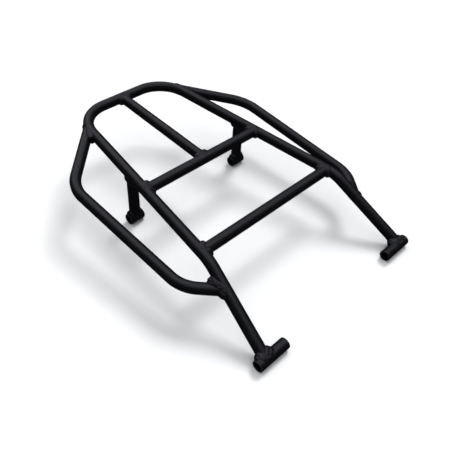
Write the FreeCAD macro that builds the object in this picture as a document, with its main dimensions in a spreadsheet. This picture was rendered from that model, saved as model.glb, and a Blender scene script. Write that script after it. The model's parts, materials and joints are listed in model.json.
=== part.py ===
import FreeCAD, Part
import math
import os
import Sketcher

# Welded tubular luggage rack: one bent hoop with two legs, two crossbars, a centre bar, two bent side
# rails, two short rear legs, four mounting sleeves and a weld bead round every joint.
#
# Frame: millimetres, +Z up, +Y towards the rounded tail, +X across. The rack stands on its four sleeves
# at Z = 0, and the origin is the middle of the box it fills, on that ground plane. The rack is mirror
# symmetric in X: "left" pieces lie at -X and "right" pieces at +X, seen looking along +Y.

Vector = FreeCAD.Vector

# alias, size in millimetres (or a plain share), what it is
SIZES = (
    ("tube_diameter", 18.0, "outer diameter of every tube and sleeve"),
    ("tube_wall", 2.0, "wall of the frame tubes"),
    ("bend_radius", 60.0, "centreline radius of every bend"),
    ("tail_y", 255.5, "tail run of the hoop, centreline"),
    ("tail_height", 101.0, "tail run of the hoop, centreline"),
    ("tail_corner_x", 94.0, "where the tail run and the rail run would cross"),
    ("front_bend_x", 141.5, "where the rail run and the leg run would cross"),
    ("front_bend_y", -122.5, "the same point"),
    ("front_bend_height", 83.0, "the same point"),
    ("foot_x", 159.5, "where the front leg meets its sleeve axis"),
    ("foot_y", -255.5, "axis of the front sleeves"),
    ("rear_crossbar_y", 39.5, "axis of the rear crossbar"),
    ("front_crossbar_y", -106.0, "axis of the front crossbar"),
    ("side_start_share", 0.8, "side rail leaves the tail bend at this share of its turn"),
    ("side_rear_x", 191.5, "rear corner of the side rail"),
    ("side_rear_y", 130.0, "the same point"),
    ("side_rear_height", 76.5, "the same point"),
    ("side_front_x", 187.0, "front corner of the side rail"),
    ("side_front_y", -118.0, "the same point"),
    ("side_front_height", 57.5, "the same point"),
    ("side_end_share", 0.31, "side rail joins the front leg at this share of the leg"),
    ("rear_leg_x", 117.5, "axis of the upright rear leg and middle of its sleeve"),
    ("rear_leg_y", 76.5, "the same axis"),
    ("front_sleeve_x", 148.0, "middle of the front sleeve"),
    ("front_sleeve_length", 56.0, "front sleeve"),
    ("rear_sleeve_length", 27.0, "rear sleeve"),
    ("sleeve_bore", 13.0, "bolt hole through each sleeve"),
    ("rim_chamfer", 0.6, "chamfer on the outer rims of the sleeves"),
    ("end_gap", 1.0, "a coped tube is blunted this far short of the axis that it meets"),
    ("bead_reach", 3.5, "weld bead, along the tube that is joined on"),
    ("bead_height", 2.5, "weld bead, over the tube that it is joined to"),
    ("bead_lap", 2.0, "weld bead, past the crest of the tube that it is joined to"),
    ("floor_clearance", 0.5, "weld beads at the feet stay this far above the ground plane"),
)

TUBE_RADIUS = "Sizes.tube_diameter / 2"
TUBE_BORE = "Sizes.tube_diameter / 2 - Sizes.tube_wall"
BEAD_OVER_MAIN = "Sizes.tube_diameter / 2 + Sizes.bead_height"
BEAD_OVER_BRANCH = "Sizes.tube_diameter / 2 + Sizes.bead_reach"
SIDES = (("left", -1.0), ("right", 1.0))

# Sketcher's own numbers for a circle's centre, the sketch axes and the point where they cross.
CENTRE_POINT = 3
SKETCH_AXES = -1
SKETCH_ORIGIN = 1
SAME_SIZE = 0.01

# The tool that shapes a weld bead is this many tube diameters long.
COLLAR_DIAMETERS = 4

doc = FreeCAD.newDocument("LuggageRack")
sheet = doc.addObject("Spreadsheet::Sheet", "Sizes")
for row, (alias, size, meaning) in enumerate(SIZES, start=1):
    sheet.set(f"A{row}", meaning)
    sheet.set(f"B{row}", str(size))
    sheet.setAlias(f"B{row}", alias)
doc.recompute()


def size_of(alias):
    """Value of one driving size."""
    return float(sheet.get(alias))


# ---------------------------------------------------------------- points of the frame


def between(start, end, share):
    """Point at a share of the way from start to end."""
    return start + (end - start) * share


def rail_point(y):
    """Point of the right rail's centreline at a given Y."""
    front = Vector(size_of("front_bend_x"), size_of("front_bend_y"), size_of("front_bend_height"))
    tail = Vector(size_of("tail_corner_x"), size_of("tail_y"), size_of("tail_height"))
    return between(front, tail, (y - front.y) / (tail.y - front.y))


def rail_formula(y_alias, front_alias, tail_alias):
    """Sheet expression for the rail's X or height where it passes a named Y."""
    share = f"(Sizes.{y_alias} - Sizes.front_bend_y) / (Sizes.tail_y - Sizes.front_bend_y)"
    return f"(Sizes.{front_alias} + (Sizes.{tail_alias} - Sizes.{front_alias}) * {share})"


def rail_x_formula(y_alias):
    """Sheet expression for the rail's X at a named Y."""
    return rail_formula(y_alias, "front_bend_x", "tail_corner_x")


def rail_height_formula(y_alias):
    """Sheet expression for the rail's height at a named Y."""
    return rail_formula(y_alias, "front_bend_height", "tail_height")


def on_side(point, side):
    """The same point on the left (-1) or right (+1) half of the rack."""
    return Vector(point.x * side, point.y, point.z)


def shortened(start, end, gap):
    """Start and end of a run, each moved inwards by the gap."""
    step = (end - start).normalize() * gap
    return start + step, end - step


TAIL_MIDDLE = Vector(0, size_of("tail_y"), size_of("tail_height"))
TAIL_CORNER = rail_point(size_of("tail_y"))
FRONT_BEND = rail_point(size_of("front_bend_y"))
REAR_CROSS = rail_point(size_of("rear_crossbar_y"))
FRONT_CROSS = rail_point(size_of("front_crossbar_y"))
CENTRE_CROSS = Vector(0, REAR_CROSS.y, REAR_CROSS.z)
SLEEVE_HEIGHT = size_of("tube_diameter") / 2
FOOT = Vector(size_of("foot_x"), size_of("foot_y"), SLEEVE_HEIGHT)
REAR_FOOT = Vector(size_of("rear_leg_x"), size_of("rear_leg_y"), SLEEVE_HEIGHT)
REAR_LEG_TOP = Vector(REAR_FOOT.x, REAR_FOOT.y, rail_point(REAR_FOOT.y).z)
FRONT_SLEEVE = Vector(size_of("front_sleeve_x"), FOOT.y, SLEEVE_HEIGHT)
SIDE_REAR = Vector(size_of("side_rear_x"), size_of("side_rear_y"), size_of("side_rear_height"))
SIDE_FRONT = Vector(size_of("side_front_x"), size_of("side_front_y"), size_of("side_front_height"))
SIDE_END = between(FRONT_BEND, FOOT, size_of("side_end_share"))


def bend(before, corner, after):
    """Start, end, centre and turn (radians) of the arc that rounds one corner."""
    radius = size_of("bend_radius")
    back = (before - corner).normalize()
    onward = (after - corner).normalize()
    turn = math.pi - back.getAngle(onward)
    tangent = radius * math.tan(turn / 2)
    centre = corner + (back + onward).normalize() * (radius / math.cos(turn / 2))
    return corner + back * tangent, corner + onward * tangent, centre, turn


def point_on_bend(before, corner, after, share):
    """Point of a rounded corner's arc, at a share of its turn."""
    start, end, centre, turn = bend(before, corner, after)
    axis = (start - centre).cross(end - centre).normalize()
    spin = FreeCAD.Rotation(axis, math.degrees(turn * share))
    return centre + spin.multVec(start - centre)


SIDE_START = point_on_bend(TAIL_MIDDLE, TAIL_CORNER, FRONT_BEND, size_of("side_start_share"))


def rounded_wire(corners):
    """Wire of straight runs joined by tangent arcs at every inner corner."""
    edges = []
    start = corners[0]
    for before, corner, after in zip(corners, corners[1:], corners[2:]):
        first, last, centre, turn = bend(before, corner, after)
        middle = point_on_bend(before, corner, after, 0.5)
        edges.append(Part.LineSegment(start, first).toShape())
        edges.append(Part.Arc(first, middle, last).toShape())
        start = last
    edges.append(Part.LineSegment(start, corners[-1]).toShape())
    return Part.Wire(edges)


# ---------------------------------------------------------------- helpers for document objects


def upright_to(direction):
    """Rotation that turns +Z to a direction."""
    return FreeCAD.Rotation(Vector(0, 0, 1), direction)


def rod(label, start, end, radius, length=None):
    """Solid round bar between two points, with its radius, and its length if named, bound to the sheet."""
    cylinder = doc.addObject("Part::Cylinder", label)
    cylinder.setExpression("Radius", radius)
    cylinder.Height = (end - start).Length
    if length:
        cylinder.setExpression("Height", length)
    cylinder.Placement = FreeCAD.Placement(start, upright_to(end - start))
    return cylinder


def spine(label, corners):
    """Centreline of a bent tube."""
    path = doc.addObject("Part::Feature", label)
    path.Shape = rounded_wire(corners)
    return path


def swept(label, path, start, direction, radius):
    """Solid round bar swept along a spine, with its radius bound to the sheet."""
    section = doc.addObject("Part::Circle", f"{label}_section")
    section.setExpression("Radius", radius)
    section.Placement = FreeCAD.Placement(start, upright_to(direction))
    sweep = doc.addObject("Part::Sweep", label)
    sweep.Sections = [section]
    sweep.Spine = (path, [f"Edge{number + 1}" for number in range(len(path.Shape.Edges))])
    sweep.Solid = True
    sweep.Frenet = False
    return sweep


def cut(label, base, *tools):
    """Base minus each tool in turn; the last result carries the label."""
    for number, tool in enumerate(tools, start=1):
        name = label if number == len(tools) else f"{label}_cut_{number}"
        result = doc.addObject("Part::Cut", name)
        result.Base = base
        result.Tool = tool
        base = result
    return base


def common(label, first, second):
    """What two solids share."""
    result = doc.addObject("Part::Common", label)
    result.Base = first
    result.Tool = second
    return result


# ---------------------------------------------------------------- pieces

pieces = []


def keep(piece):
    """Note one finished sub-part."""
    pieces.append(piece)
    return piece


def origin_plane(body, role):
    """One of a body's own origin planes, found by its role."""
    for feature in body.Origin.OriginFeatures:
        if feature.Role == role:
            return feature
    raise LookupError(role)


def sleeve(label, middle, length_alias):
    """Mounting sleeve along X: a short tube with chamfered rims."""
    body = doc.addObject("PartDesign::Body", label)
    profile = body.newObject("Sketcher::SketchObject", f"{label}_profile")
    profile.AttachmentSupport = [(origin_plane(body, "YZ_Plane"), "")]
    profile.MapMode = "FlatFace"
    circles = (
        ("outer_radius", TUBE_RADIUS, size_of("tube_diameter") / 2),
        ("bore_radius", "Sizes.sleeve_bore / 2", size_of("sleeve_bore") / 2),
    )
    for number, (name, radius, drawn) in enumerate(circles):
        profile.addGeometry(Part.Circle(Vector(0, 0, 0), Vector(0, 0, 1), drawn), False)
        profile.addConstraint(
            Sketcher.Constraint("Coincident", number, CENTRE_POINT, SKETCH_AXES, SKETCH_ORIGIN))
        radius_index = profile.addConstraint(Sketcher.Constraint("Radius", number, drawn))
        profile.renameConstraint(radius_index, name)
        profile.setExpression(f"Constraints.{name}", radius)
    pad = body.newObject("PartDesign::Pad", f"{label}_pad")
    pad.Profile = profile
    pad.SideType = "Symmetric"
    pad.setExpression("Length", f"Sizes.{length_alias}")
    doc.recompute()
    outer = size_of("tube_diameter") / 2
    rims = [
        f"Edge{number}"
        for number, edge in enumerate(pad.Shape.Edges, start=1)
        if isinstance(edge.Curve, Part.Circle) and abs(edge.Curve.Radius - outer) < SAME_SIZE
    ]
    chamfer = body.newObject("PartDesign::Chamfer", f"{label}_chamfer")
    chamfer.Base = (pad, rims)
    chamfer.setExpression("Size", "Sizes.rim_chamfer")
    body.Tip = chamfer
    body.Placement = FreeCAD.Placement(middle, FreeCAD.Rotation())
    return body


def sleeve_rod(label, middle, length_alias, radius):
    """Solid bar as long as a sleeve, used to cope tubes to it and to limit its weld bead."""
    half = Vector(size_of(length_alias) / 2, 0, 0)
    return rod(label, middle - half, middle + half, radius, f"Sizes.{length_alias}")


def straight_tube(label, start, end, run, mains):
    """Hollow straight tube, coped at its ends to the solids that it meets.

    run is the sheet expression for the distance between the two axes that the tube joins.
    """
    first, last = shortened(start, end, size_of("end_gap"))
    length = f"{run} - 2 * Sizes.end_gap"
    outer = rod(f"{label}_outer", first, last, TUBE_RADIUS, length)
    bore = rod(f"{label}_bore", first, last, TUBE_BORE, length)
    return outer, cut(label, outer, bore, *mains)


def bent_tube(label, corners, mains):
    """Hollow bent tube, coped at its ends to the solids that it meets."""
    first, after = shortened(corners[0], corners[1], size_of("end_gap"))
    before, last = shortened(corners[-2], corners[-1], size_of("end_gap"))
    path = spine(f"{label}_spine", [first] + corners[1:-1] + [last])
    direction = corners[1] - corners[0]
    outer = swept(f"{label}_outer", path, first, direction, TUBE_RADIUS)
    bore = swept(f"{label}_bore", path, first, direction, TUBE_BORE)
    return path, outer, cut(label, outer, bore, *mains)


def weld_bead(label, joint, towards, limit, clear):
    """Ring of weld round the end of a branch tube.

    joint is on the axis of the tube that the branch meets, towards is a point further along the
    branch, limit is that tube grown by the bead's height, and clear are the solids it must not enter.
    """
    step = (towards - joint).normalize()
    length = min(COLLAR_DIAMETERS * size_of("tube_diameter"), (towards - joint).Length)
    collar = rod(
        f"{label}_collar",
        joint - step * size_of("bead_lap"),
        joint + step * length,
        BEAD_OVER_BRANCH,
    )
    ring = common(f"{label}_ring", collar, limit)
    return keep(cut(label, ring, *clear))


# Sleeves first: the tubes are coped to them.
front_sleeves = {}
rear_sleeves = {}
for name, side in SIDES:
    front_middle = on_side(FRONT_SLEEVE, side)
    rear_middle = on_side(REAR_FOOT, side)
    keep(sleeve(f"{name}_front_sleeve", front_middle, "front_sleeve_length"))
    keep(sleeve(f"{name}_rear_sleeve", rear_middle, "rear_sleeve_length"))
    front_sleeves[name] = sleeve_rod(
        f"{name}_front_sleeve_outer", front_middle, "front_sleeve_length", TUBE_RADIUS)
    rear_sleeves[name] = sleeve_rod(
        f"{name}_rear_sleeve_outer", rear_middle, "rear_sleeve_length", TUBE_RADIUS)

# The hoop: left foot, leg, rail, tail, rail, leg, right foot in one bent tube.
hoop_corners = [
    on_side(FOOT, -1),
    on_side(FRONT_BEND, -1),
    on_side(TAIL_CORNER, -1),
    TAIL_CORNER,
    FRONT_BEND,
    FOOT,
]
hoop_path, hoop_outer, main_hoop = bent_tube(
    "main_hoop", hoop_corners, [front_sleeves["left"], front_sleeves["right"]])
keep(main_hoop)
hoop_limit = swept(
    "hoop_bead_limit",
    hoop_path,
    hoop_path.Shape.Vertexes[0].Point,
    hoop_corners[1] - hoop_corners[0],
    BEAD_OVER_MAIN,
)

# Crossbars between the rails, and the centre bar from the tail to the rear crossbar.
rear_cross_outer, rear_crossbar = straight_tube(
    "rear_crossbar",
    on_side(REAR_CROSS, -1),
    REAR_CROSS,
    f"2 * {rail_x_formula('rear_crossbar_y')}",
    [hoop_outer],
)
front_cross_outer, front_crossbar = straight_tube(
    "front_crossbar",
    on_side(FRONT_CROSS, -1),
    FRONT_CROSS,
    f"2 * {rail_x_formula('front_crossbar_y')}",
    [hoop_outer],
)
centre_rise = f"(Sizes.tail_height - {rail_height_formula('rear_crossbar_y')})"
centre_outer, centre_bar = straight_tube(
    "centre_bar",
    TAIL_MIDDLE,
    CENTRE_CROSS,
    f"sqrt((Sizes.tail_y - Sizes.rear_crossbar_y) ^ 2 + {centre_rise} ^ 2)",
    [hoop_outer, rear_cross_outer],
)
for bar in (rear_crossbar, front_crossbar, centre_bar):
    keep(bar)

rear_cross_limit = rod(
    "rear_crossbar_bead_limit", on_side(REAR_CROSS, -1), REAR_CROSS, BEAD_OVER_MAIN)
weld_bead("centre_bar_tail_weld", TAIL_MIDDLE, CENTRE_CROSS, hoop_limit, [hoop_outer, centre_outer])
weld_bead(
    "centre_bar_crossbar_weld",
    CENTRE_CROSS,
    TAIL_MIDDLE,
    rear_cross_limit,
    [rear_cross_outer, centre_outer],
)

# Slab just above the ground plane, wide enough to pass under both front feet.
floor_slab = doc.addObject("Part::Box", "floor_slab")
floor_slab.setExpression("Length", "4 * Sizes.foot_x")
floor_slab.setExpression("Width", "4 * Sizes.tail_y")
floor_slab.setExpression("Height", "Sizes.tube_diameter")
floor_slab.setExpression("Placement.Base.x", "-2 * Sizes.foot_x")
floor_slab.setExpression("Placement.Base.y", "-2 * Sizes.tail_y")
floor_slab.setExpression("Placement.Base.z", "Sizes.floor_clearance - Sizes.tube_diameter")

for name, side in SIDES:
    # Bent side rail from the tail bend to the front leg.
    side_corners = [on_side(point, side) for point in (SIDE_START, SIDE_REAR, SIDE_FRONT, SIDE_END)]
    side_path, side_outer, side_rail = bent_tube(f"{name}_side_rail", side_corners, [hoop_outer])
    keep(side_rail)

    # Upright rear leg under the rail.
    leg_top = on_side(REAR_LEG_TOP, side)
    leg_foot = on_side(REAR_FOOT, side)
    leg_outer, rear_leg = straight_tube(
        f"{name}_rear_leg",
        leg_top,
        leg_foot,
        f"{rail_height_formula('rear_leg_y')} - Sizes.tube_diameter / 2",
        [hoop_outer, rear_sleeves[name]],
    )
    keep(rear_leg)

    # Weld beads on the hoop.
    for bar_name, cross_point, bar_outer in (
        ("rear_crossbar", REAR_CROSS, rear_cross_outer),
        ("front_crossbar", FRONT_CROSS, front_cross_outer),
    ):
        joint = on_side(cross_point, side)
        middle = Vector(0, joint.y, joint.z)
        weld_bead(f"{name}_{bar_name}_weld", joint, middle, hoop_limit, [hoop_outer, bar_outer])
    weld_bead(
        f"{name}_side_rail_tail_weld", side_corners[0], side_corners[1], hoop_limit,
        [hoop_outer, side_outer])
    weld_bead(
        f"{name}_side_rail_leg_weld", side_corners[3], side_corners[2], hoop_limit,
        [hoop_outer, side_outer])
    weld_bead(f"{name}_rear_leg_weld", leg_top, leg_foot, hoop_limit, [hoop_outer, leg_outer])

    # Weld beads on the sleeves, dressed clear of the ground.
    rear_limit = sleeve_rod(
        f"{name}_rear_bead_limit", leg_foot, "rear_sleeve_length", BEAD_OVER_MAIN)
    weld_bead(
        f"{name}_rear_sleeve_weld", leg_foot, leg_top, rear_limit,
        [rear_sleeves[name], leg_outer])
    front_limit = sleeve_rod(
        f"{name}_front_bead_limit", on_side(FRONT_SLEEVE, side), "front_sleeve_length",
        BEAD_OVER_MAIN)
    weld_bead(
        f"{name}_front_sleeve_weld", on_side(FOOT, side), on_side(FRONT_BEND, side), front_limit,
        [front_sleeves[name], hoop_outer, floor_slab])

# ---------------------------------------------------------------- check and write

doc.recompute()

for item in doc.Objects:
    if "Invalid" in item.State or "Error" in item.State:
        raise RuntimeError(f"{item.Label} did not rebuild: {item.State}")

os.makedirs("parts", exist_ok=True)
for piece in pieces:
    shape = piece.Shape
    if shape.isNull() or not shape.isValid():
        raise RuntimeError(f"{piece.Label} has no valid shape")
    if len(shape.Solids) != 1:
        raise RuntimeError(f"{piece.Label} has {len(shape.Solids)} solids")
    shape.exportStep(f"parts/{piece.Label}.step")
    box = shape.BoundBox
    print(
        f"{piece.Label}: {shape.Volume:.0f} mm3, "
        f"x {box.XMin:.1f}..{box.XMax:.1f}, y {box.YMin:.1f}..{box.YMax:.1f}, "
        f"z {box.ZMin:.1f}..{box.ZMax:.1f}"
    )
print(len(pieces), "pieces")
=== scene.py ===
import sys
import json
import logging
import math
import random
from dataclasses import dataclass
from enum import Enum
from typing import Dict, Iterable, List, Optional, Sequence, Tuple, Union

import bpy
import numpy as np
from mathutils import Matrix, Vector


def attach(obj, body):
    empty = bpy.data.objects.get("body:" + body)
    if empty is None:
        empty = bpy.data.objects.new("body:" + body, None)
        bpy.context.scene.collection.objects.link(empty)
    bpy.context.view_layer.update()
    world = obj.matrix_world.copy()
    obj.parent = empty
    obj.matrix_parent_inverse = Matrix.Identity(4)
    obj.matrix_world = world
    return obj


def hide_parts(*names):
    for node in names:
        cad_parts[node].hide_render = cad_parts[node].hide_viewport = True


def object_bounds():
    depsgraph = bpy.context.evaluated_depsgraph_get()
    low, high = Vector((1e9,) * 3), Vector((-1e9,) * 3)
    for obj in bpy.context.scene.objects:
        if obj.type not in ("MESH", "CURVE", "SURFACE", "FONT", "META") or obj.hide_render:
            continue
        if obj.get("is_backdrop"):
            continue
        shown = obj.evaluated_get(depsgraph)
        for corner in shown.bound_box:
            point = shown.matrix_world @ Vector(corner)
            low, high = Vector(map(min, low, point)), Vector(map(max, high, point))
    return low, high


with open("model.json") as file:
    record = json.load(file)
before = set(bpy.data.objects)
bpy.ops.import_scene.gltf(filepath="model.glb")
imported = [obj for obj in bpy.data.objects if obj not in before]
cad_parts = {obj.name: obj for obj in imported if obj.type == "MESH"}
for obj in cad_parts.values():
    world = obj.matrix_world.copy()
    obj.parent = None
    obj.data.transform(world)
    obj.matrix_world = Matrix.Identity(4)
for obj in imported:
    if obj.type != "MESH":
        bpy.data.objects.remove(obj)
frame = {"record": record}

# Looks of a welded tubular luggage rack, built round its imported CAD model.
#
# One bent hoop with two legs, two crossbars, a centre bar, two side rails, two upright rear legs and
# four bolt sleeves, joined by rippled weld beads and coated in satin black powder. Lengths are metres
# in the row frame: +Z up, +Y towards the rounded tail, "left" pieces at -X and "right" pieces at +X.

log = logging.getLogger("luggage_rack")

Array = np.ndarray
Faces = List[Tuple[int, ...]]
Pair = Tuple[float, float]
Triple = Tuple[float, float, float]
Output = bpy.types.NodeSocket
Value = Union[float, Sequence[float], Output]

MM = 0.001
BODY = "root"
CAD_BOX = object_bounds()
# Point attribute that paints a highlight on sleeve rims and weld ripple crests, partly standing for thin,
# worn coat.
PAINTED_HIGHLIGHT_AND_THIN_COAT = "thin_coat"


class Side(Enum):
    """The two mirrored halves of the rack, with the sign of their X."""

    LEFT = -1.0
    RIGHT = 1.0

    @property
    def word(self) -> str:
        """Name as it stands in the pieces' names."""
        return self.name.lower()

    def place(self, point: Array) -> Array:
        """Move a point of the right half to this half."""
        return point * np.array([self.value, 1.0, 1.0])


class End(Enum):
    """The two pairs of feet."""

    FRONT = "front"
    REAR = "rear"


class Slot(Enum):
    """Material slots of the record."""

    FRAME = "frame_coat"
    SLEEVE = "sleeve_coat"
    WELD = "weld_coat"


def unit(vectors: Array) -> Array:
    """Scale vectors to length one.

    Args:
        vectors: One vector, or rows of vectors.

    Returns:
        The same directions with length one.
    """
    length = np.linalg.norm(vectors, axis=-1, keepdims=True)
    return vectors / np.maximum(length, 1e-12)


def turned(vectors: Array, axis: Array, angle: float) -> Array:
    """Turn vectors about an axis through the origin.

    Args:
        vectors: One vector, or rows of vectors.
        axis: Unit axis.
        angle: Angle in radians, by the right-hand rule.

    Returns:
        The turned vectors.
    """
    along = (vectors @ axis)[..., None] * axis
    across = np.cross(axis, vectors)
    return along + (vectors - along) * math.cos(angle) + across * math.sin(angle)


def square_to(direction: Array) -> Array:
    """Find a unit vector at right angles to a direction.

    Args:
        direction: Unit vector.

    Returns:
        A unit vector square to it, as level as it can be.
    """
    helper = np.array([0.0, 0.0, 1.0])
    if abs(direction @ helper) > 0.9:
        helper = np.array([1.0, 0.0, 0.0])
    return unit(np.cross(helper, direction))


# ---------------------------------------------------------------- centrelines


@dataclass(frozen=True)
class Run:
    """Straight stretch of a tube's centreline."""

    start: Array
    end: Array

    @property
    def length(self) -> float:
        """Length of the stretch."""
        return float(np.linalg.norm(self.end - self.start))

    @property
    def direction(self) -> Array:
        """Unit vector from start to end."""
        return unit(self.end - self.start)

    def carry(self, across: Array, distance: float) -> Tuple[Array, Array, Array]:
        """Carry a ring's reference vector along the stretch.

        Args:
            across: Reference vector at the start.
            distance: Distance from the start.

        Returns:
            The point, the tangent and the reference vector there.
        """
        return self.start + self.direction * distance, self.direction, across

    def closest(self, points: Array) -> Array:
        """Closest points of the stretch to rows of points."""
        along = np.clip((points - self.start) @ self.direction, 0.0, self.length)
        return self.start + along[:, None] * self.direction

    def stations(self, straight_step: float, bend_step: float) -> List[float]:
        """Distances at which the stretch gets a ring."""
        count = max(1, round(self.length / straight_step))
        return [self.length * number / count for number in range(count)]


@dataclass(frozen=True)
class Bend:
    """Arc of a tube's centreline."""

    centre: Array
    spoke: Array
    axis: Array
    turn: float

    @property
    def radius(self) -> float:
        """Radius of the arc."""
        return float(np.linalg.norm(self.spoke))

    @property
    def length(self) -> float:
        """Length of the arc."""
        return self.radius * self.turn

    def carry(self, across: Array, distance: float) -> Tuple[Array, Array, Array]:
        """Carry a ring's reference vector along the arc.

        Args:
            across: Reference vector at the start.
            distance: Distance from the start.

        Returns:
            The point, the tangent and the reference vector there.
        """
        angle = distance / self.radius
        spoke = turned(self.spoke, self.axis, angle)
        return self.centre + spoke, unit(np.cross(self.axis, spoke)), turned(across, self.axis, angle)

    def closest(self, points: Array) -> Array:
        """Find the closest points of the arc.

        Args:
            points: Rows of points.

        Returns:
            The closest point to each.
        """
        first = unit(self.spoke)
        second = np.cross(self.axis, first)
        offset = points - self.centre
        middle = self.turn / 2
        angle = np.arctan2(offset @ second, offset @ first) - middle
        angle = (angle + math.pi) % (2 * math.pi) - math.pi
        angle = np.clip(angle + middle, 0.0, self.turn)
        return self.centre + self.radius * (
            np.cos(angle)[:, None] * first + np.sin(angle)[:, None] * second)

    def stations(self, straight_step: float, bend_step: float) -> List[float]:
        """Distances at which the arc gets a ring."""
        count = max(2, round(self.turn / bend_step))
        return [self.length * number / count for number in range(count)]


class Centreline:
    """Straight runs joined by tangent arcs."""

    def __init__(self, corners: Sequence[Array], radius: float = 0.0) -> None:
        """Lay the line out.

        Args:
            corners: Ends of the line, with the corners between them.
            radius: Radius of the arc at every inner corner.
        """
        self.pieces: List[Union[Run, Bend]] = []
        start = corners[0]
        for before, corner, after in zip(corners, corners[1:], corners[2:]):
            arc = self.rounded(before, corner, after, radius)
            self.pieces.append(Run(start, arc.centre + arc.spoke))
            self.pieces.append(arc)
            start = arc.centre + turned(arc.spoke, arc.axis, arc.turn)
        self.pieces.append(Run(start, corners[-1]))

    @staticmethod
    def rounded(before: Array, corner: Array, after: Array, radius: float) -> Bend:
        """Round one corner.

        Args:
            before: Point before the corner.
            corner: The corner.
            after: Point after the corner.
            radius: Radius of the arc.

        Returns:
            The arc that touches both sides.
        """
        back = unit(before - corner)
        onward = unit(after - corner)
        turn = math.pi - math.acos(float(np.clip(back @ onward, -1.0, 1.0)))
        first = corner + back * radius * math.tan(turn / 2)
        centre = corner + unit(back + onward) * radius / math.cos(turn / 2)
        return Bend(centre, first - centre, unit(np.cross(-back, onward)), turn)

    @property
    def start(self) -> Array:
        """First point of the line."""
        return self.pieces[0].start

    @property
    def heading(self) -> Array:
        """Direction in which the line sets off."""
        return self.pieces[0].direction

    def backwards(self) -> "Centreline":
        """The same line from its other end, as far as its last run."""
        last = self.pieces[-1]
        return Centreline([last.end, last.start])

    def closest(self, points: Array) -> Array:
        """Find the closest points of the line.

        Args:
            points: Rows of points.

        Returns:
            The closest point to each.
        """
        options = np.stack([piece.closest(points) for piece in self.pieces])
        distance = np.linalg.norm(options - points, axis=2)
        return options[distance.argmin(axis=0), np.arange(len(points))]

    def rings(self, straight_step: float, bend_step: float) -> Iterable[Tuple[Array, Array, Array]]:
        """Go along the line ring by ring.

        Args:
            straight_step: Distance between rings on the runs.
            bend_step: Angle between rings on the arcs.

        Yields:
            The point, the tangent and a reference vector across the line.
        """
        across = square_to(self.heading)
        for piece in self.pieces:
            for distance in piece.stations(straight_step, bend_step):
                yield piece.carry(across, distance)
            across = piece.carry(across, piece.length)[2]
        last = self.pieces[-1]
        yield last.carry(across, last.length)


# ---------------------------------------------------------------- the rack's layout


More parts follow.
